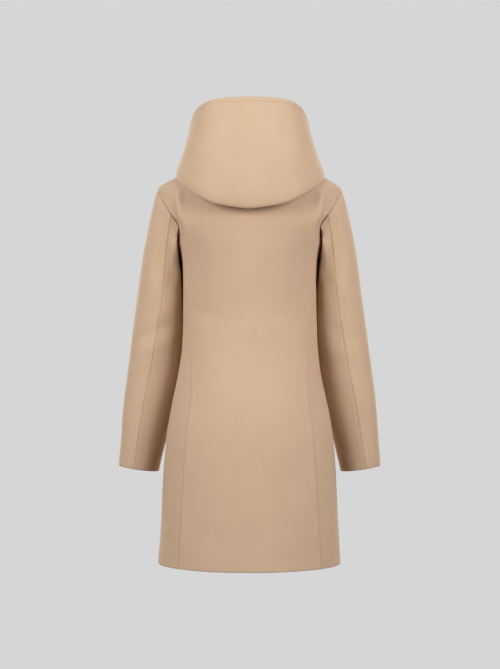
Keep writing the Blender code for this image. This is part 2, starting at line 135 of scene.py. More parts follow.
# A cubic between each two rows, whose slope at a row is the harmonic mean of the slopes on its two sides,
# or flat where these differ in sign, so the curve never overshoots the rows
def throughRows(place, value, at):
    step = np.diff(place)
    slope = np.diff(value) / step
    before, after = slope[:-1], slope[1:]
    same = before * after > 0
    inner = np.zeros_like(before)
    inner[same] = 2 * before[same] * after[same] / (before[same] + after[same])
    tangent = np.concatenate(([slope[0]], inner, [slope[-1]]))
    at = np.clip(at, place[0], place[-1])
    row = np.clip(np.searchsorted(place, at, side="right") - 1, 0, len(step) - 1)
    part = (at - place[row]) / step[row]
    return hermite(part, value[row], step[row] * tangent[row], value[row + 1], step[row] * tangent[row + 1])


# A bell curve over whole steps to both sides, adding up to 1
def bellCurve(reach, step, blur):
    bell = np.exp(-0.5 * (np.arange(-reach, reach + 1) * step / blur) ** 2)
    return bell / bell.sum()


# Every column at even steps, then averaged with its neighbours under a bell curve. Past its ends a column
# goes on turned about its last value, or as its mirror image if it is named in mirrored
def softTable(table, key, step, blur, mirrored=()):
    place = np.asarray(table[key], dtype=float)
    at = np.arange(place[0], place[-1] + step / 2, step)
    reach = int(np.ceil(3 * blur / step))
    bell = bellCurve(reach, step, blur)
    soft = {"at": at}
    for column in table:
        if column == key:
            continue
        value = throughRows(place, np.asarray(table[column], dtype=float), at)
        before = value[reach:0:-1]
        after = value[-2:-reach - 2:-1]
        if column not in mirrored:
            before = 2 * value[0] - before
            after = 2 * value[-1] - after
        soft[column] = np.convolve(np.concatenate((before, value, after)), bell, mode="valid")
    return soft


bodyLow = softTable(bodyForm, "height", step=0.0005, blur=0.010)
bodyTop = softTable(bodyForm, "height", step=0.0005, blur=0.0025)
seamTable = softTable(longSeams, "height", step=0.0005, blur=0.012)
seamBend = 0.10                 # a long seam bends over this height to meet the armhole
sleeveTable = softTable(sleeveForm, "height", step=0.0005, blur=0.014)
hoodTable = softTable(hoodForm, "angle", step=0.25, blur=5.0,
                      mirrored=("foldY", "foldZ", "rimY", "rimZ", "swell"))


# Linear between the two steps beside a place
def tableAt(table, column, at):
    return np.interp(at, table["at"], table[column])


# One size of the body at a height: softly blurred below the shoulders, almost as drawn above them
def bodySize(column, height):
    high = smoothStep(height, *coat["shoulder"])
    return (1 - high) * tableAt(bodyLow, column, height) + high * tableAt(bodyTop, column, height)


# x = width cos(angle), y = middle + reach sin(angle), with one reach for the back and another for the front
def bodyPoint(angle, height):
    turn = np.radians(angle)
    reach = np.where(np.sin(turn) >= 0, bodySize("back", height), bodySize("front", height))
    x = bodySize("width", height) * np.cos(turn)
    y = bodySize("middle", height) + reach * np.sin(turn)
    return joined(x, y, height)


# The point, and its normal as the cross product of the slopes round and up
def bodySurface(angle, height):
    angle, height = np.broadcast_arrays(np.asarray(angle, dtype=float), np.asarray(height, dtype=float))
    around = bodyPoint(angle + coat["angleStep"], height) - bodyPoint(angle - coat["angleStep"], height)
    low = np.maximum(height - coat["heightStep"], coat["hem"])
    high = np.minimum(height + coat["heightStep"], 0.0)
    upward = bodyPoint(angle, high) - bodyPoint(angle, low)
    return bodyPoint(angle, height), unit(np.cross(around, upward))


# The neckline: it drops by neckFront |sin|^1.5 to the front and by neckBack sin^2 to the back
def neckEdge(turn):
    sine = np.sin(np.radians(turn))
    height = np.where(sine < 0, -coat["neckFront"] * np.abs(sine) ** 1.5, -coat["neckBack"] * sine ** 2)
    cosine = np.clip(coat["neckHalf"] * np.cos(np.radians(turn)) / bodySize("width", height), -1.0, 1.0)
    angle = np.degrees(np.arccos(cosine))
    return np.where(sine < 0, -angle, angle), height


# Height of the neckline at an angle round the body
def neckHeight(angle):
    angles, heights = neckEdge(np.linspace(-90.0, 90.0, 1441))      # every eighth of a degree
    folded = np.where(angle > 90.0, 180.0 - angle, angle)
    return np.interp(folded, angles, heights)


# Catmull-Rom curve through the closed ring of the armhole's stations, as angle and height
def armholeAt(index):
    ring = joined(armhole["angle"], armhole["height"])
    start = np.floor(index).astype(int)
    part = (index - start)[..., None]
    a, b, c, d = (ring[(start + shift) % ringCount] for shift in (-1, 0, 1, 2))
    bend = 2 * a - 5 * b + 4 * c - d + part * (3 * (b - c) + d - a)
    return b + 0.5 * part * (c - a + part * bend)


edgeSteps = (0.0, 0.0004, 0.0010, 0.0018, 0.0028, 0.0042, 0.0062)   # rows beside every edge, for its finish
panelRows = {"seam": 150, "hole": 46, "shoulder": 34}


# Distances from an edge: edgeSteps at first, then even up to the full length
def fromEdge(length, count):
    return np.concatenate((edgeSteps[:-1], np.linspace(edgeSteps[-1], length, count)))


# Shares from 0 to 1 across a piece of about that width, with edgeSteps at both ends
def bothEdges(width, count):
    close = np.asarray(edgeSteps) / width
    return np.concatenate((close[:-1], np.linspace(close[-1], 1 - close[-1], count), 1 - close[-2::-1]))


# The long seam beside the back or a front, from the hem up to its station on the armhole's ring
def seamEdge(panel):
    angle, height = armholeAt(np.array(ringAt[panel + "Seam"]))
    heights = coat["hem"] + fromEdge(height - coat["hem"], panelRows["seam"])
    angles = tableAt(seamTable, panel + "Angle", heights)
    angles += (angle - angles[-1]) * smoothStep(heights, height - seamBend, height)
    return joined(angles, heights)


# The outer edge of the back or a front: up the long seam, round the armhole and along the shoulder
def outerEdge(panel):
    tip = 0 if panel == "back" else ringCount
    hole = armholeAt(np.linspace(ringAt[panel + "Seam"], tip, panelRows["hole"] + 1))
    rise = -fromEdge(-armhole["height"][0], panelRows["shoulder"])[::-1]
    return np.concatenate((seamEdge(panel), hole[1:], joined(0.0, rise)[1:]))


# Coons patch on the body: the ruled surface between a panel's two sides, moved at its foot to the hem and at
# its head to the top edge, which is felt only above the height called low
def panelPatch(left, right, top, share, low):
    bottom = joined(left[0, 0] + (right[0, 0] - left[0, 0]) * share, coat["hem"])
    across = share[None, :, None]
    felt = smoothStep(right[:, 1], low, right[-1, 1])[:, None, None]
    sides = (1 - across) * left[:, None] + across * right[:, None]
    foot = bottom[None] - ((1 - across) * left[None, :1] + across * right[None, :1])
    head = top[None] - ((1 - across) * left[None, -1:] + across * right[None, -1:])
    grid = sides + (1 - felt) * foot + felt * head
    return bodySurface(grid[..., 0], grid[..., 1])


# How far each point lies from the piece's four edges, along the grid's own lines
def edgeRoom(points):
    across = np.linalg.norm(np.diff(points, axis=1), axis=-1)
    up = np.linalg.norm(np.diff(points, axis=0), axis=-1)
    fromLeft = np.pad(np.cumsum(across, axis=1), ((0, 0), (1, 0)))
    fromBottom = np.pad(np.cumsum(up, axis=0), ((1, 0), (0, 0)))
    return {"left": fromLeft, "right": fromLeft[:, -1:] - fromLeft,
            "bottom": fromBottom, "top": fromBottom[-1:] - fromBottom}


# Edge finishes: a quarter round drop over width, on the outside and for a folded edge on the inside too, the
# seam allowance that lies under the cloth beside it as a ridge, and how much deeper the edge is at the
# armhole's low end
plainEdge = {"inside": 0.0, "ridge": 0.0, "ridgeWidth": 0.008, "deeper": 0.0}
edgeKinds = {
    "seam": {**plainEdge, "drop": 0.0005, "width": 0.0013, "ridge": 0.00015, "ridgeWidth": 0.0085},
    "pressed": {**plainEdge, "drop": 0.0007, "width": 0.0014, "ridge": 0.00040, "ridgeWidth": 0.0075,
                "deeper": 1.2},
    "low": {**plainEdge, "drop": 0.0018, "width": 0.0045},
    "tucked": {**plainEdge, "drop": 0.0012, "width": 0.0026, "deeper": 0.8},
    "rolled": {**plainEdge, "drop": 0.0005, "width": 0.0014, "ridge": 0.00050, "ridgeWidth": 0.0022},
    "fold": {**plainEdge, "drop": 0.0014, "width": 0.0024, "inside": 0.0013},
}
edgeOrder = ("left", "right", "bottom", "top")
edgeLook = {
    "ridgeFade": 0.004,
    "armholeLow": (0.095, 0.140),       # depth below the neck over which deeper sets in
    "armholeEnd": (-0.235, -0.205),     # and the heights over which it goes again
    # painted shade: the nap's colour is darkened beside every edge but rolled ones, fading over this reach
    "shade": 0.0035,                    # reach of the nap's shading beside an edge
}

# The cloth's slow unevenness: waves of these lengths in metres, each along its own direction
slowWaves = (
    ((0.8, 0.3, 0.5), 0.170, 0.00034, 0.4),
    ((-0.5, 0.6, 0.6), 0.124, 0.00026, 2.1),
    ((0.3, -0.8, 0.5), 0.093, 0.00020, 4.0),
    ((0.9, 0.1, -0.4), 0.067, 0.00013, 1.3),
    ((0.1, 0.5, 0.9), 0.058, 0.00012, 5.2),
)
foldForm = {"depth": 0.015, "fadeIn": (-0.35, 0.25), "fadeOut": (0.75, 1.35)}
hemSwing = {"height": 0.0011, "waves": 7, "shift": 0.6, "below": (0.60, 0.885), "within": (-0.215, -0.190)}
gathers = {"height": 0.00010, "length": 0.0115, "uneven": 1.6, "unevenLength": 0.027, "reach": 0.006}


# Sum of bells exp(-(d / width)^2) across straight lines, faded out towards both ends, and of slow sine waves;
# d is measured along the cloth, as far as the line lies within the fold's depth of it. At the hem the skirt
# also swings in and out, by a sine of the turn round the body
def clothLift(points, normals, folds):
    lift = np.zeros(points.shape[:-1])
    for start, end, width, height in folds:
        run = end - start
        part = np.clip((points - start) @ run / (run @ run), foldForm["fadeIn"][0], foldForm["fadeOut"][1])
        away = points - start - part[..., None] * run
        deep = np.abs((away * normals).sum(axis=-1))
        beyond = np.maximum(deep - foldForm["depth"], 0.0)
        far = np.sqrt((away * away).sum(axis=-1) - deep ** 2 + beyond ** 2)
        fade = smoothStep(part, *foldForm["fadeIn"]) * (1 - smoothStep(part, *foldForm["fadeOut"]))
        lift += height * np.exp(-(far / width) ** 2) * fade
    for direction, length, height, shift in slowWaves:
        lift += height * np.sin(points @ (unit(np.array(direction)) * 2 * np.pi / length) + shift)
    swing = smoothStep(-points[..., 2], *hemSwing["below"])
    swing = swing * smoothStep(-np.abs(points[..., 0]), *hemSwing["within"])
    turn = np.arctan2(points[..., 1], points[..., 0])
    return lift + hemSwing["height"] * swing * np.sin(hemSwing["waves"] * turn + hemSwing["shift"])


# Small gathers beside a seam: a sine along it of uneven length, fading with the distance from it
def puckers(along, room):
    uneven = gathers["uneven"] * np.sin(along / gathers["unevenLength"])
    wave = np.sin(along * 2 * np.pi / gathers["length"] + uneven)
    return gathers["height"] * wave * np.exp(-(room / gathers["reach"]) ** 2)


# How far the outside and the inside of a piece stand from its drawn surface: the cloth's lift less each
# edge's drop, 1 - sqrt(1 - (1 - t)^2) over its width. Also how near the closest edge is, for the painted seam
# shade
def pieceLifts(points, normals, edges, wall, folds):
    room = edgeRoom(points)
    edges = dict(zip(edgeOrder, edges))
    outside = clothLift(points, normals, folds)
    inside = outside - wall
    height = points[..., 2]
    armholeLow = smoothStep(-height, *edgeLook["armholeLow"]) * smoothStep(height, *edgeLook["armholeEnd"])
    for edge, kind in edges.items():
        size = edgeKinds[kind]
        along = room["bottom"] if edge in ("left", "right") else room["left"]
        part = np.clip(room[edge] / size["width"], 0.0, 1.0)
        drop = (1 - np.sqrt(1 - (1 - part) ** 2)) * (1 + size["deeper"] * armholeLow)
        step = 1 - smoothStep(room[edge], size["ridgeWidth"], size["ridgeWidth"] + edgeLook["ridgeFade"])
        outside = outside - size["drop"] * drop + size["ridge"] * step
        inside = inside + size["inside"] * drop
        if kind in ("seam", "pressed"):
            outside = outside + puckers(along, room[edge])
    # distance to the nearest edge, rolled ones left out, for the painted seam shade
    closest = np.minimum.reduce([room[edge] for edge, kind in edges.items() if kind != "rolled"])
    return outside, inside, closest


# Quads of a grid, and of the strip that joins two grids along their four edges
def shellFaces(rows, columns):
    index = np.arange(rows * columns).reshape(rows, columns)
    front = joined(index[:-1, :-1], index[:-1, 1:], index[1:, 1:], index[1:, :-1]).reshape(-1, 4)
    back = front[:, ::-1] + rows * columns
    ring = np.concatenate((index[0, :-1], index[:-1, -1], index[-1, :0:-1], index[:0:-1, 0]))
    after = np.roll(ring, -1)
    rim = joined(after, ring, ring + rows * columns, after + rows * columns)
    return np.concatenate((front, back, rim))


# Signed volume: a sixth of the sum of corner . (next corner x the one after), over the faces' triangles
def signedVolume(vertices, faces):
    a, b, c, d = (vertices[faces[:, corner]] for corner in range(4))
    return (np.einsum("ij,ij->i", a, np.cross(b, c)) + np.einsum("ij,ij->i", a, np.cross(c, d))).sum() / 6


# A new object in the scene, unturned at the origin
def newObject(name, data):
    made = bpy.data.objects.new(name, data)
    bpy.context.scene.collection.objects.link(made)
    return made


# A smooth shaded mesh, but with sharp edges where faces meet at more than that many degrees
def meshObject(name, vertices, faces, finish, sharp=55):
    mesh = bpy.data.meshes.new(name)
    mesh.from_pydata(vertices.tolist(), [], faces)
    mesh.validate()
    mesh.shade_smooth()
    mesh.set_sharp_from_angle(angle=math.radians(sharp))
    mesh.materials.append(finish)
    return newObject(name, mesh)


# A closed cloth piece: the drawn surface moved out for its outside and in for its inside, each edge drawn
# back along the cloth by the seam's room
def clothPiece(name, points, normals, edges, finish, folds, cut, sewnTo, held="hung", wall=coat["wall"]):
    outside, inside, closest = pieceLifts(points, normals, edges, wall, folds)
    drawn = points.copy()
    for at, beside in ((np.s_[:, 0], np.s_[:, 1]), (np.s_[:, -1], np.s_[:, -2]),
                       (np.s_[0], np.s_[1]), (np.s_[-1], np.s_[-2])):
        drawn[at] += coat["seamRoom"] * unit(points[beside] - points[at])
    front = drawn + normals * outside[..., None]
    back = drawn + normals * inside[..., None]
    rows, columns = points.shape[:2]
    vertices = np.concatenate((front.reshape(-1, 3), back.reshape(-1, 3)))
    faces = shellFaces(rows, columns)
    if signedVolume(vertices, faces) < 0:
        faces = faces[:, ::-1]
    piece = meshObject(name + "_cloth", vertices, faces.tolist(), finish)
    # painted seam shade: 1 at the nearest edge, fading over edgeLook's reach; it darkens the nap's colour
    # there
    near = piece.data.attributes.new("paintedSeamShade", "FLOAT", "POINT")
    shade = np.exp(-(np.tile(closest.reshape(-1), 2) / edgeLook["shade"]) ** 2)
    near.data.foreach_set("value", shade.astype(np.float32))
    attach(piece, "root")
    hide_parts(name)
    return piece


# The same piece for both sides, the right one mirrored across the middle; {} in a name stands for the side
def clothPair(name, points, normals, edges, finish, folds, cut, sewnTo):
    pair = []
    for side, flip in (("left", (1, 1, 1)), ("right", (-1, 1, 1))):
        others = [other.format(side) for other in sewnTo]
        pair.append(clothPiece(name.format(side), points * flip, normals * flip, edges, finish, folds, cut,
                               others))
    return pair


# The sleeve's middle line
def sleeveMiddle(height):
    return joined(tableAt(sleeveTable, "across", height), tableAt(sleeveTable, "forward", height), height)


# middle + halfWidth cos(turn) across + halfDepth sin(turn) deep, across being square to the middle line
def sleeveRing(turn, height):
    low = np.maximum(height - coat["sleeveStep"], sleeveForm["height"][0])
    high = np.minimum(height + coat["sleeveStep"], sleeveForm["height"][-1])
    run = unit(sleeveMiddle(low) - sleeveMiddle(high))
    across = unit(np.array((1.0, 0.0, 0.0)) - run * run[..., :1])
    turn = np.radians(turn)[..., None]
    halfWidth = tableAt(sleeveTable, "halfWidth", height)[..., None]
    halfDepth = tableAt(sleeveTable, "halfDepth", height)[..., None]
    deep = np.array((0.0, 1.0, 0.0))
    return sleeveMiddle(height) + halfWidth * np.cos(turn) * across + halfDepth * np.sin(turn) * deep


# Places on the back and on the front, at the angle whose cosine is x over the body's width, on each sleeve
# (turn 0 outwards, 90 to the back), and anywhere
def onBack(x, height):
    return bodyPoint(np.degrees(np.arccos(x / bodySize("width", height))), height)


def onFront(x, height):
    return bodyPoint(-np.degrees(np.arccos(x / bodySize("width", height))), height)


def onLeft(turn, height):
    return sleeveRing(np.array(float(turn)), np.array(height))


def onRight(turn, height):
    return onLeft(turn, height) * (-1, 1, 1)


def spot(x, y, z):
    return np.array((x, y, z))


# Start, end, half width and height of each fold, from rows that give its place function and the numbers
def foldsFrom(rows):
    folds = []
    for place, *numbers in rows:
        half = len(numbers) // 2 - 1
        folds.append((place(*numbers[:half]), place(*numbers[half:-2]), *numbers[-2:]))
    return tuple(folds)


# Soft troughs (minus) and ridges (plus)
shoulderFolds = foldsFrom((
    (onBack, 0.177, -0.080, 0.163, -0.125, 0.0080, -0.0016),  # from the left shoulder's back
    (onBack, 0.149, -0.090, 0.138, -0.235, 0.0150, 0.0024),
    (onBack, 0.112, -0.170, 0.112, -0.270, 0.0240, -0.0026),
    (spot, 0.161, 0.055, -0.132, 0.151, 0.045, -0.170, 0.0120, -0.0046),  # the armhole's low end
    (onBack, -0.176, -0.078, -0.163, -0.123, 0.0080, -0.0015),  # the same on the right
    (spot, -0.161, 0.055, -0.131, -0.151, 0.045, -0.169, 0.0120, -0.0045),
    (onBack, -0.149, -0.092, -0.138, -0.230, 0.0150, 0.0023),
    (onBack, -0.112, -0.165, -0.113, -0.275, 0.0240, -0.0025),
    (onFront, 0.150, -0.140, 0.098, -0.225, 0.0130, -0.0020),  # from armhole to bust
    (onFront, 0.144, -0.186, 0.102, -0.262, 0.0130, 0.0015),
    (onFront, -0.151, -0.136, -0.096, -0.232, 0.0130, -0.0019),
    (onFront, -0.144, -0.182, -0.104, -0.254, 0.0140, 0.0015),
))
bodyFolds = shoulderFolds + foldsFrom((
    (onBack, 0.154, -0.076, 0.145, -0.134, 0.0085, 0.0070),  # crests beside the armholes
    (onBack, -0.153, -0.078, -0.145, -0.132, 0.0087, 0.0068),
    (onBack, 0.118, -0.330, 0.030, -0.352, 0.016, -0.0010),  # the small of the back
    (onBack, -0.125, -0.350, -0.040, -0.338, 0.017, -0.0009),
    (onBack, 0.090, -0.395, 0.010, -0.410, 0.018, 0.0008),
    (onFront, 0.132, -0.330, 0.060, -0.352, 0.014, -0.0016),  # front waist
    (onFront, -0.130, -0.342, -0.058, -0.336, 0.014, -0.0015),
    (onFront, 0.112, -0.392, 0.050, -0.380, 0.015, 0.0011),
    (onFront, -0.112, -0.380, -0.048, -0.396, 0.015, 0.0011),
))
sleeveFolds = shoulderFolds + foldsFrom((
    (spot, 0.157, 0.038, -0.176, 0.158, 0.020, -0.222, 0.0120, -0.0012),  # left inner side, turning under
    (onLeft, 136, -0.245, 140, -0.310, 0.016, 0.0022),
    (spot, 0.163, 0.032, -0.180, 0.159, 0.008, -0.258, 0.0110, 0.0065),  # and standing off beside that
    (onLeft, 60, -0.235, 95, -0.330, 0.013, 0.0013),  # left back
    (onLeft, 112, -0.265, 76, -0.345, 0.012, -0.0014),
    (onLeft, 126, -0.345, 52, -0.392, 0.014, -0.0016),
    (onLeft, 124, -0.388, 48, -0.428, 0.014, 0.0014),
    (onLeft, 118, -0.450, 50, -0.486, 0.015, -0.0010),
    (spot, -0.157, 0.038, -0.178, -0.158, 0.020, -0.222, 0.0120, -0.0012),  # right inner side
    (onRight, 137, -0.245, 140, -0.306, 0.016, 0.0021),
    (spot, -0.163, 0.032, -0.181, -0.159, 0.008, -0.257, 0.0110, 0.0063),
    (onRight, 62, -0.240, 96, -0.320, 0.013, 0.0012),  # right back
    (onRight, 110, -0.272, 78, -0.350, 0.013, -0.0014),
    (onRight, 124, -0.352, 54, -0.398, 0.014, -0.0014),
    (onRight, 122, -0.405, 50, -0.440, 0.016, 0.0012),
    (onLeft, 232, -0.345, 318, -0.372, 0.011, -0.0024),  # inside the left elbow
    (onLeft, 230, -0.382, 322, -0.398, 0.012, 0.0019),
    (onLeft, 232, -0.412, 320, -0.446, 0.012, -0.0022),
    (onRight, 232, -0.352, 318, -0.368, 0.011, -0.0023),  # inside the right elbow
    (onRight, 230, -0.388, 322, -0.410, 0.012, 0.0018),
    (onRight, 234, -0.424, 318, -0.448, 0.012, -0.0021),
))
hoodFolds = foldsFrom((
    (spot, 0.126, 0.048, -0.010, 0.090, 0.128, -0.060, 0.014, -0.0012),  # low on its sides
    (spot, -0.128, 0.046, -0.006, -0.092, 0.128, -0.056, 0.015, -0.0012),
    (spot, 0.118, 0.076, 0.030, 0.060, 0.150, -0.020, 0.018, 0.0010),
    (spot, -0.116, 0.078, 0.036, -0.064, 0.148, -0.014, 0.018, 0.0010),
))

napSockets = {"Patch Scale": "patchScale", "Patch Share": "patchShare", "Fibre Scale": "fibreScale",
              "Fibre Share": "fibreShare", "Painted Shade Share": "paintedShadeShare"}
napForm = {
    "stretch": (1.0, 1.0, 0.30),        # fibres three times as long as wide, lying down the cloth
    "fibreDetail": (4.0, 0.65, 0.4),    # detail, roughness and distortion of each noise
    "speckDetail": (2.0, 0.50, 0.0),
    "patchDetail": (3.0, 0.55, 0.0),
    "speckScale": 330.0,
    "speckShare": 0.22,
    "roughness": (0.80, 0.14),          # least, and what the fibres add
    "height": (0.7, 0.3),               # shares of the fibres and specks
}


# Nap: fine fibres lying down the cloth over slow patches of deeper and lighter dye.
# Colour = mix(deep, light) by patches and fibres, with painted shade making it darker in a seam's ditch;
# Height = fibres and specks
def napGroup():
    group = bpy.data.node_groups.new("brushedNap", "ShaderNodeTree")
    for way, kind, names in (("INPUT", "Vector", ("Coordinates",)),
                             ("INPUT", "Color", ("Light Colour", "Deep Colour")),
                             ("INPUT", "Float", (*napSockets, "Painted Seam Shade")),
                             ("OUTPUT", "Color", ("Colour",)),
                             ("OUTPUT", "Float", ("Roughness", "Height"))):
        for name in names:
            group.interface.new_socket(name=name, in_out=way, socket_type="NodeSocket" + kind)
    make, wire = group.nodes.new, group.links.new
    given = make("NodeGroupInput").outputs
    result = make("NodeGroupOutput").inputs

    def join(value, socket):
        if isinstance(value, (int, float)):
            socket.default_value = value
        else:
            wire(value, socket)

    def noise(place, scale, look):
        node = make("ShaderNodeTexNoise")
        wire(place, node.inputs["Vector"])
        join(scale, node.inputs["Scale"])
        for socket, value in zip(("Detail", "Roughness", "Distortion"), look):
            node.inputs[socket].default_value = value
        return node.outputs["Fac"]

    def maths(operation, first, second):
        node = make("ShaderNodeMath")
        node.operation = operation
        join(first, node.inputs[0])
        join(second, node.inputs[1])
        return node.outputs[0]

    def swing(value, share):
        return maths("MULTIPLY", maths("SUBTRACT", value, 0.5), share)

    stretch = make("ShaderNodeVectorMath")
    stretch.operation = "MULTIPLY"
    stretch.inputs[1].default_value = napForm["stretch"]
    wire(given["Coordinates"], stretch.inputs[0])
    fibre = noise(stretch.outputs[0], given["Fibre Scale"], napForm["fibreDetail"])
    speck = noise(given["Coordinates"], napForm["speckScale"], napForm["speckDetail"])
    patch = noise(given["Coordinates"], given["Patch Scale"], napForm["patchDetail"])
    patches = swing(patch, given["Patch Share"])
    fibres = swing(fibre, given["Fibre Share"])
    specks = swing(speck, napForm["speckShare"])
    tone = maths("ADD", maths("ADD", maths("ADD", patches, fibres), specks), 0.5)
    # painted shade: the seam shade mask times its share, taken off the tone so the colour goes deeper beside
    # edges
    paintedDitchShade = maths("MULTIPLY", given["Painted Seam Shade"], given["Painted Shade Share"])
    blend = make("ShaderNodeMix")
    blend.data_type = "RGBA"
    blend.clamp_factor = True
    wire(maths("SUBTRACT", tone, paintedDitchShade), blend.inputs["Factor"])
    wire(given["Deep Colour"], blend.inputs["A"])
    wire(given["Light Colour"], blend.inputs["B"])
    wire(blend.outputs["Result"], result["Colour"])
    least, more = napForm["roughness"]
    wire(maths("ADD", maths("MULTIPLY", fibre, more), least), result["Roughness"])
    fibreHeight, speckHeight = napForm["height"]
    height = maths("ADD", maths("MULTIPLY", fibre, fibreHeight), maths("MULTIPLY", speck, speckHeight))
    wire(height, result["Height"])
    return group


brushedNap = napGroup()

# Finishes: light and deep dye in linear colour, size and share of the patches and fibres, painted shade
# beside edges, bump and sheen
clothNap = {"patchShare": 0.42, "fibreScale": 950.0, "fibreShare": 0.70, "paintedShadeShare": 0.06, "bump": 0.28,
            "bumpHeight": 0.0005, "specular": 0.22, "sheenRoughness": 0.45,
            "sheenTint": (0.95, 0.86, 0.76, 1.0)}
clothFinishes = {
    "camelCloth": {**clothNap, "light": (0.640, 0.445, 0.300), "deep": (0.500, 0.335, 0.218),
                   "patchScale": 14.0, "sheen": 0.16},
    # painted shade: a slightly darker copy of camelCloth, for the side panels under the arms
    "camelSidePaintedShadeCloth": {**clothNap, "light": (0.634, 0.440, 0.296), "deep": (0.495, 0.331, 0.215),
                       "patchScale": 15.0, "sheen": 0.15},
    # painted shade: a darker copy of camelCloth, for the sleeves' under pieces and the hood's base, which lie
    # in shade
    "camelUnderPaintedShadeCloth": {**clothNap, "light": (0.605, 0.417, 0.278), "deep": (0.471, 0.312, 0.200),
                        "patchScale": 15.0, "sheen": 0.14},
    "badgeCloth": {**clothNap, "light": (0.380, 0.300, 0.235), "deep": (0.270, 0.205, 0.155),
                   "patchScale": 60.0, "patchShare": 0.30, "fibreScale": 1500.0, "fibreShare": 0.9,
                   "paintedShadeShare": 0.2, "bump": 0.35, "bumpHeight": 0.0004, "sheen": 0.10,
                   "sheenRoughness": 0.40},
}
bumpSockets = {"Strength": "bump", "Distance": "bumpHeight"}
shaderSockets = {"Specular IOR Level": "specular", "Sheen Weight": "sheen",
                 "Sheen Roughness": "sheenRoughness", "Sheen Tint": "sheenTint"}


# The nap's colour, roughness and height on a cloth with its own gloss and sheen
def clothFinish(name):
    look = clothFinishes[name]
    finish = bpy.data.materials.new(name)
    finish.use_nodes = True
    make, wire = finish.node_tree.nodes.new, finish.node_tree.links.new
    shader = finish.node_tree.nodes["Principled BSDF"]
    place = make("ShaderNodeTexCoord")
    nap = make("ShaderNodeGroup")
    nap.node_tree = brushedNap
    # the painted seam shade mask, read from the mesh
    edge = make("ShaderNodeAttribute")
    edge.attribute_name = "paintedSeamShade"
    wire(place.outputs["Object"], nap.inputs["Coordinates"])
    wire(edge.outputs["Fac"], nap.inputs["Painted Seam Shade"])
    nap.inputs["Light Colour"].default_value = (*look["light"], 1.0)
    nap.inputs["Deep Colour"].default_value = (*look["deep"], 1.0)
    wire(nap.outputs["Colour"], shader.inputs["Base Color"])
    wire(nap.outputs["Roughness"], shader.inputs["Roughness"])
    bump = make("ShaderNodeBump")
    wire(nap.outputs["Height"], bump.inputs["Height"])
    wire(bump.outputs["Normal"], shader.inputs["Normal"])
    for node, sockets in ((nap, napSockets), (bump, bumpSockets), (shader, shaderSockets)):
        for socket, key in sockets.items():
            node.inputs[socket].default_value = look[key]
    return finish


camelCloth, camelSidePaintedShadeCloth, camelUnderPaintedShadeCloth, badgeCloth = map(clothFinish, clothFinishes)
print("finishes ready")

# The back: one piece between the long seams, the armholes, the shoulders and the neck
backSizes = {"width": 0.36, "columns": 116, "cut": (0.450, 0.900, 0.291)}


def backPiece():
    share = bothEdges(backSizes["width"], backSizes["columns"])
    right = outerEdge("back")
    left = joined(180.0 - right[:, 0], right[:, 1])
    angle = 180.0 * (1 - share)
    top = joined(angle, neckHeight(angle))
    clothPiece("back", *panelPatch(left, right, top, share, coat["frontLow"]),
               ("pressed", "pressed", "fold", "seam"), camelCloth, bodyFolds, backSizes["cut"],
               ("side_left", "side_right", "front_left", "front_right"))


# Each side panel: under the arm, from the back's long seam to the front's
sideSizes = {"width": 0.15, "columns": 46, "topLow": -0.33, "cut": (0.206, 0.709, 0.114)}


def sidePieces():
    share = bothEdges(sideSizes["width"], sideSizes["columns"])
    left, right = seamEdge("back"), seamEdge("front")
    top = armholeAt(ringAt["backSeam"] + (ringAt["frontSeam"] - ringAt["backSeam"]) * share)
    clothPair("side_{}", *panelPatch(left, right, top, share, sideSizes["topLow"]),
              ("seam", "seam", "fold", "low"), camelSidePaintedShadeCloth, bodyFolds, sideSizes["cut"],
              ("back", "front_{}"))


# Each front: from the centre line to the long seam, armhole and shoulder
frontSizes = {"width": 0.17, "columns": 70, "cut": (0.230, 0.900, 0.143)}


def frontPieces():
    share = bothEdges(frontSizes["width"], frontSizes["columns"])
    outer = outerEdge("front")
    angle = -90.0 * (1 - share)
    top = joined(angle, neckHeight(angle))
    felt = smoothStep(outer[:, 1], coat["frontLow"], outer[-1, 1])
    centre = joined(-90.0, outer[:, 1] + felt * top[0, 1])
    clothPair("front_{}", *panelPatch(centre, outer, top, share, coat["frontLow"]),
              ("fold", "pressed", "fold", "seam"), camelCloth, bodyFolds, frontSizes["cut"],
              ("back", "side_{}"))


# The flap over the front opening: a strip of the body's form moved out over both fronts
flapSizes = {"halfWidth": 0.033, "top": 0.012, "lift": 0.0008, "wall": 0.0022, "columns": 30, "rows": 180,
             "cut": (0.068, 0.809, 0.054)}


# across runs from -1 to 1 over the flap; its edge is at the angle whose sine is halfWidth over the body's
def flapSurface(across, height, lift):
    reach = np.degrees(np.arcsin(flapSizes["halfWidth"] / bodySize("width", height)))
    points, normals = bodySurface(-90.0 + reach * across, height)
    return points + lift * normals, normals


def flapPiece():
    share = bothEdges(2 * flapSizes["halfWidth"], flapSizes["columns"])
    tall = -coat["neckFront"] - flapSizes["top"] - coat["hem"]
    heights = coat["hem"] + tall * bothEdges(tall, flapSizes["rows"])
    lift = flapSizes["lift"] + flapSizes["wall"]
    points, normals = flapSurface((2 * share - 1)[None], heights[:, None], lift)
    clothPiece("front_flap", points, normals, ("fold",) * 4, camelCloth, bodyFolds, flapSizes["cut"],
               ("front_left", "front_right"), wall=flapSizes["wall"])


# The sleeve: rings from the armhole down. Its cap is a Hermite surface from the armhole's ring to the ring
# at the table's top, leaving outwards and down; below, rings are ellipses round the sleeve's middle line
sleeveSizes = {"width": 0.17, "upperColumns": 74, "underColumns": 66, "capRows": 58, "armRows": 122,
               "capNear": (0.0, 0.0035, 0.008, 0.014, 0.022, 0.033), "capStart": (0.45, 0.10, -0.80),
               "capPull": 0.40, "slopeDrop": 0.02, "rowBlur": 3.0,
               "upperCut": (0.200, 0.627, 0.109), "underCut": (0.200, 0.572, 0.078)}


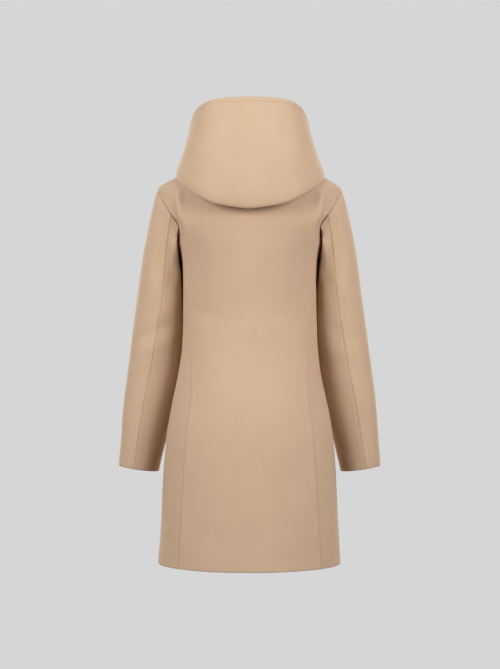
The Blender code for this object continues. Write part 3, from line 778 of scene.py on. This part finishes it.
# Turn of each column at each height, linear between the ring's top, its two seams and the underarm
def sleeveTurns(index, height):
    places = (0, ringAt["sleeveBack"], ringAt["underArm"], ringAt["sleeveFront"], ringCount)
    hats = np.stack([np.interp(index, places, row) for row in np.eye(len(places))])
    knots = joined(0.0, tableAt(sleeveTable, "backSeam", height), 180.0,
                   tableAt(sleeveTable, "frontSeam", height), 360.0)
    return knots @ hats


# Average each column with a bell curve along the rows, its ends held in place
def softenRows(grid, blur):
    reach = int(3 * blur)
    padded = np.concatenate((2 * grid[:1] - grid[reach:0:-1], grid, 2 * grid[-1:] - grid[-2:-reach - 2:-1]))
    return sum(weight * padded[shift:shift + len(grid)]
               for shift, weight in enumerate(bellCurve(reach, 1, blur)))


# Rows down the cap and the arm at stations of the ring, and normals from the rows' own slopes
def sleeveGrid(index):
    upper = sleeveForm["height"][-1]
    lower = sleeveForm["height"][0]
    wrapped = np.mod(index, ringCount)
    hole = armholeAt(wrapped)
    top, _ = bodySurface(hole[:, 0], hole[:, 1])
    turns = sleeveTurns(wrapped, np.array([upper]))[0]
    foot = sleeveRing(turns, np.full(len(turns), upper))
    out, side, down = sleeveSizes["capStart"]
    leave = unit(joined(out, side * np.sin(np.radians(turns)), down))
    run = unit(sleeveMiddle(np.array(upper - sleeveSizes["slopeDrop"])) - sleeveMiddle(np.array(upper)))
    reach = sleeveSizes["capPull"] * np.linalg.norm(foot - top, axis=-1, keepdims=True)
    near = sleeveSizes["capNear"]
    part = np.concatenate((near, np.linspace(near[-1], 1.0, sleeveSizes["capRows"])[1:]))[:, None, None]
    cap = hermite(part, top, reach * leave, foot, reach * run)
    heights = lower + fromEdge(upper - lower, sleeveSizes["armRows"])[::-1]
    turns = sleeveTurns(wrapped, heights[1:])
    arm = sleeveRing(turns, np.broadcast_to(heights[1:, None], turns.shape))
    grid = softenRows(np.concatenate((cap, arm)), sleeveSizes["rowBlur"])
    normals = unit(np.cross(np.gradient(grid, axis=0), np.gradient(grid, axis=1)))
    return grid, normals


def sleevePieces():
    made = []
    for part, first, last, finish in (
            ("upper", ringAt["sleeveFront"], ringCount + ringAt["sleeveBack"], camelCloth),
            ("under", ringAt["sleeveBack"], ringAt["sleeveFront"], camelUnderPaintedShadeCloth)):
        share = bothEdges(sleeveSizes["width"], sleeveSizes[part + "Columns"])
        made += clothPair("sleeve_{}_" + part, *sleeveGrid(first + (last - first) * share),
                          ("pressed", "pressed", "tucked", "fold"), finish, sleeveFolds,
                          sleeveSizes[part + "Cut"], ("back", "front_{}", "side_{}"))
    return made


# The hood, lying back: sections round the neck, each a cubic curve out from the neck seam to the fold's
# lowest line, then a second one round the fold and up to the rim
hoodSizes = {
    "ringWidth": 0.43, "baseWidth": 0.10, "riseWidth": 0.25,    # half way round, across the base, up the rise
    "halfColumns": 112, "evenFrom": 0.99, "evenColumns": 3,     # even at the middle of the back
    "baseRows": 34, "riseRows": 84, "rimRows": 12, "curveSteps": 161,
    "neckLift": 0.0013, "endGap": 0.0012, "rimBand": 0.011, "rimWall": 0.0042,
    "leave": (0.16, 0.24, 0.14),        # the base's pull along the neck's normal, outwards and up
    "foldReach": 0.016, "foldShare": 0.45, "foldUnder": 1.6, "bulge": 0.45,
    "hoodCut": (0.970, 0.238, 0.114), "baseCut": (0.970, 0.141, 0.066), "rimCut": (0.876, 0.014, 0.0122),
}


# Bezier curve from a to d at shares t: (1-t)^3 a + 3 (1-t)^2 t b + 3 (1-t) t^2 c + t^3 d
def cubicCurve(a, b, c, d, part):
    rest = 1 - part
    return rest ** 3 * a + 3 * rest ** 2 * part * b + 3 * rest * part ** 2 * c + part ** 3 * d


# Points of many lines at once, at shares of each one's own length
def alongLines(lines, shares):
    steps = np.linalg.norm(np.diff(lines, axis=1), axis=-1)
    far = np.pad(np.cumsum(steps, axis=1), ((0, 0), (1, 0)))
    wanted = shares * far[:, -1:]
    row = np.clip((far[:, None, :] <= wanted[:, :, None]).sum(axis=-1) - 1, 0, lines.shape[1] - 2)
    start = np.take_along_axis(far, row, axis=1)
    length = np.take_along_axis(steps, row, axis=1)
    part = ((wanted - start) / length)[..., None]
    first = np.take_along_axis(lines, row[..., None], axis=1)
    second = np.take_along_axis(lines, row[..., None] + 1, axis=1)
    return first + part * (second - first)


# The two curves of each section
def hoodSections(turns):
    def row(column):
        return tableAt(hoodTable, column, turns)
    angle, height = neckEdge(turns)
    neck, normal = bodySurface(angle, height)
    neck = neck + hoodSizes["neckLift"] * normal
    fold = joined(row("foldX"), row("foldY"), row("foldZ"))
    rim = joined(row("rimX"), row("rimY"), row("rimZ"))
    flat = (fold - neck) * (1, 1, 0)
    out = unit(flat)
    level = np.linalg.norm(flat, axis=-1)
    reach = np.minimum(hoodSizes["foldReach"], hoodSizes["foldShare"] * level)[:, None]
    span = np.linalg.norm(fold - neck, axis=-1)[:, None]
    up = np.array((0.0, 0.0, 1.0))
    pullOff, pullOut, pullUp = hoodSizes["leave"]
    leave = neck + pullOff * span * normal + pullOut * span * out + pullUp * span * up
    under = fold - hoodSizes["foldUnder"] * reach * out
    bulge = rim + hoodSizes["bulge"] * (fold - rim) + row("swell")[:, None] * out
    part = np.linspace(0.0, 1.0, hoodSizes["curveSteps"])[None, :, None]
    base = cubicCurve(*(point[:, None] for point in (neck, leave, under, fold)), part)
    rise = cubicCurve(*(point[:, None] for point in (fold, fold + reach * out, bulge, rim)), part)
    return base, rise


# Left half and its mirror image as one grid, rows going out or up, with normals from its own slopes
def wholeHood(lines):
    left = np.swapaxes(lines, 0, 1).copy()
    left[:, 0, 0] = hoodSizes["endGap"]
    right = left[:, ::-1] * (-1, 1, 1)
    grid = np.concatenate((left, right[:, 1:]), axis=1)
    return grid, unit(np.cross(np.gradient(grid, axis=1), np.gradient(grid, axis=0)))


# Base, outer hood and rim band, each at its own shares of the sections
def hoodPieces():
    close = bothEdges(hoodSizes["ringWidth"], hoodSizes["halfColumns"])[:-len(edgeSteps)]
    even = np.linspace(hoodSizes["evenFrom"], 1.0, hoodSizes["evenColumns"])
    turns = -90.0 + 180.0 * np.concatenate((close, even))
    base, rise = hoodSections(turns)
    length = np.linalg.norm(np.diff(rise, axis=1), axis=-1).sum(axis=-1)[:, None]
    band = 1 - hoodSizes["rimBand"] / length
    baseShares = bothEdges(hoodSizes["baseWidth"], hoodSizes["baseRows"])[None]
    riseShares = bothEdges(hoodSizes["riseWidth"], hoodSizes["riseRows"])[None] * band
    rimShares = band + (1 - band) * np.linspace(0.0, 1.0, hoodSizes["rimRows"])[None]
    for name, lines, low, high, finish, cut, sewnTo, wall in (
            ("hood_base", alongLines(base, baseShares), "seam", "seam", camelUnderPaintedShadeCloth, hoodSizes["baseCut"],
             ("back", "front_left", "front_right"), coat["wall"]),
            ("hood", alongLines(rise, riseShares), "seam", "rolled", camelCloth, hoodSizes["hoodCut"],
             ("hood_base",), coat["wall"]),
            ("hood_rim", alongLines(rise, rimShares), "rolled", "fold", camelCloth, hoodSizes["rimCut"],
             ("hood",), hoodSizes["rimWall"])):
        clothPiece(name, *wholeHood(lines), ("fold", "fold", low, high), finish, hoodFolds, cut, sewnTo,
                   "draped", wall)


# The badge on the left sleeve: a plain disc with an overlocked border
badgeSizes = {"radius": 0.0108, "lift": 0.0003, "face": 0.0011, "border": 0.0020, "borderHeight": 0.0008,
              "borderFoot": 0.00015, "borderRoom": 0.0002, "faceRings": 9, "borderRings": 13,
              "turns": 288, "wraps": 72, "wrapHeight": 0.00012, "fitWithin": 0.015,
              "cut": (0.022, 0.022, 0.00038)}


# Height over the sleeve across the radius: level face, a half round border, down its side and back underneath
def badgeProfile():
    radius, border = badgeSizes["radius"], badgeSizes["border"]
    inner = radius - border
    face = np.linspace(0.0, inner - badgeSizes["borderRoom"], badgeSizes["faceRings"])[1:]
    turn = np.linspace(np.pi, 0.0, badgeSizes["borderRings"])
    middle = inner + border / 2
    over = middle + border / 2 * np.cos(turn)
    rise = badgeSizes["face"] - badgeSizes["borderFoot"] + badgeSizes["borderHeight"] * np.sin(turn)
    under = np.linspace(radius - badgeSizes["borderRoom"], 0.0, badgeSizes["faceRings"])[:-1]
    reach = np.concatenate((face, over, under))
    level = np.full(len(face), badgeSizes["face"])
    height = np.concatenate((level, rise, np.full(len(under), badgeSizes["lift"])))
    border = np.concatenate((np.zeros(len(face)), np.sin(turn), np.zeros(len(under))))
    return reach, height, border


# 1, x, y, x^2, xy and y^2 of each point
def squareTerms(x, y):
    return joined(1.0, x, y, x * x, x * y, y * y)


# Lies on z = a + bx + cy + dx^2 + exy + fy^2, fitted to the sleeve's own outside round the badge's middle
def badgePiece(sleeve):
    low, high = (np.array(corner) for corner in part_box("sleeve_badge"))
    middle = (low + high) / 2
    count = len(sleeve.data.vertices)
    places = np.empty(count * 3)
    sleeve.data.vertices.foreach_get("co", places)
    places = places.reshape(-1, 3)[:count // 2]
    near = places[np.linalg.norm(places - middle, axis=1) < badgeSizes["fitWithin"]]
    centre = near.mean(axis=0)
    out = np.linalg.svd(near - centre)[2][2]
    out = out * np.sign(out[0])
    up = unit(np.array((0.0, 0.0, 1.0)) - out[2] * out)
    beside = np.cross(up, out)
    x, y, z = ((near - middle) @ axis for axis in (beside, up, out))
    bend = np.linalg.lstsq(squareTerms(x, y), z, rcond=None)[0]
    reach, height, border = badgeProfile()
    turn = np.linspace(0.0, 2 * np.pi, badgeSizes["turns"], endpoint=False)
    wrap = badgeSizes["wrapHeight"] * np.abs(np.sin(turn * badgeSizes["wraps"] / 2))
    height = height[:, None] + border[:, None] * wrap
    x = np.append((reach[:, None] * np.cos(turn)).reshape(-1), (0.0, 0.0))
    y = np.append((reach[:, None] * np.sin(turn)).reshape(-1), (0.0, 0.0))
    z = np.append(height.reshape(-1), (badgeSizes["face"], badgeSizes["lift"]))
    z = z + squareTerms(x, y) @ bend
    vertices = middle + x[:, None] * beside + y[:, None] * up + z[:, None] * out
    rows, columns = len(reach), len(turn)
    index = np.arange(rows * columns).reshape(rows, columns)
    after = np.roll(index, -1, axis=1)
    band = joined(index[:-1], index[1:], after[1:], after[:-1]).reshape(-1, 4)
    top = joined(rows * columns, index[0], after[0])
    foot = joined(rows * columns + 1, after[-1], index[-1])
    faces = band.tolist() + top.tolist() + foot.tolist()
    piece = meshObject("sleeve_badge_cloth", vertices, faces, badgeCloth)
    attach(piece, "root")
    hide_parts("sleeve_badge")


backPiece()
sidePieces()
frontPieces()
flapPiece()
sleeveCloths = sleevePieces()
hoodPieces()
badgePiece(sleeveCloths[0])
print("cloth pieces cut")

# Camera and studio
camera = {"place": (-0.0006, 3.04, -0.380), "lens": 49.238, "sensor": 24.0}
studio = {"backdrop": 0.672, "ambient": 0.03, "floorHeight": -1.30, "floorRadius": 9.0, "floorSides": 64,
          "aim": (0.0, 0.0, -0.38)}
white, coolWhite = (1.0, 1.0, 1.0), (0.78, 0.92, 1.0)
softBoxes = (
    ("keyLeft", (1.85, 1.85, 0.38), (1.2, 1.3), 51.5, white),
    ("keyRight", (-1.85, 1.85, 0.38), (1.2, 1.3), 51.5, white),
    ("lowLeft", (2.30, 1.00, -0.90), (0.9, 0.6), 8.5, white),
    ("lowRight", (-2.30, 1.00, -0.90), (0.9, 0.6), 8.5, white),
    ("overhead", (0.0, 1.0, 2.4), (2.0, 1.0), 30.0, coolWhite),
    ("frontLeft", (1.5, -2.2, 0.3), (1.0, 1.6), 44.0, white),
    ("frontRight", (-1.5, -2.2, 0.3), (1.0, 1.6), 44.0, white),
)

lens = bpy.data.cameras.new("studioCamera")
lens.sensor_fit = "VERTICAL"
lens.sensor_height = camera["sensor"]
lens.lens = camera["lens"]
viewer = newObject("studioCamera", lens)
viewer.location = camera["place"]
viewer.rotation_euler = (math.pi / 2, 0.0, math.pi)
bpy.context.scene.camera = viewer
bpy.context.scene.view_settings.view_transform = "Standard"
bpy.context.scene.view_settings.look = "None"


# The same pale grey wherever the camera looks, and a weaker light from it on the coat
def paleGlow(tree, outputKind, shaderKind):
    tree.nodes.clear()
    make, wire = tree.nodes.new, tree.links.new
    output = make(outputKind)
    seen = make(shaderKind)
    felt = make(shaderKind)
    seen.inputs["Color"].default_value = (studio["backdrop"],) * 3 + (1.0,)
    felt.inputs["Color"].default_value = (1.0, 1.0, 1.0, 1.0)
    felt.inputs["Strength"].default_value = studio["ambient"]
    path = make("ShaderNodeLightPath")
    choose = make("ShaderNodeMixShader")
    wire(path.outputs["Is Camera Ray"], choose.inputs["Fac"])
    wire(felt.outputs[0], choose.inputs[1])
    wire(seen.outputs[0], choose.inputs[2])
    wire(choose.outputs[0], output.inputs["Surface"])


world = bpy.data.worlds.new("paleStudio")
world.use_nodes = True
paleGlow(world.node_tree, "ShaderNodeOutputWorld", "ShaderNodeBackground")
bpy.context.scene.world = world

floorMesh = bpy.data.meshes.new("studioFloor")
ringTurns = np.linspace(0.0, 2 * np.pi, studio["floorSides"], endpoint=False)
floorRing = joined(studio["floorRadius"] * np.cos(ringTurns), studio["floorRadius"] * np.sin(ringTurns),
                   studio["floorHeight"])
floorMesh.from_pydata(floorRing.tolist(), [], [list(range(studio["floorSides"]))])
floorFinish = bpy.data.materials.new("paleFloor")
floorFinish.use_nodes = True
paleGlow(floorFinish.node_tree, "ShaderNodeOutputMaterial", "ShaderNodeEmission")
floorMesh.materials.append(floorFinish)
floor = newObject("studioFloor", floorMesh)

for name, place, size, power, tint in softBoxes:
    light = bpy.data.lights.new(name, "AREA")
    light.shape = "RECTANGLE"
    light.size, light.size_y = size
    light.energy = power
    light.color = tint
    box = newObject(name, light)
    box.location = place
    aim = np.array(studio["aim"]) - np.array(place)
    flat = math.hypot(aim[0], aim[1])
    box.rotation_euler = (math.pi / 2 + math.atan2(aim[2], flat), 0.0, math.atan2(-aim[0], aim[1]))
    box.visible_camera = False
print("studio lit")
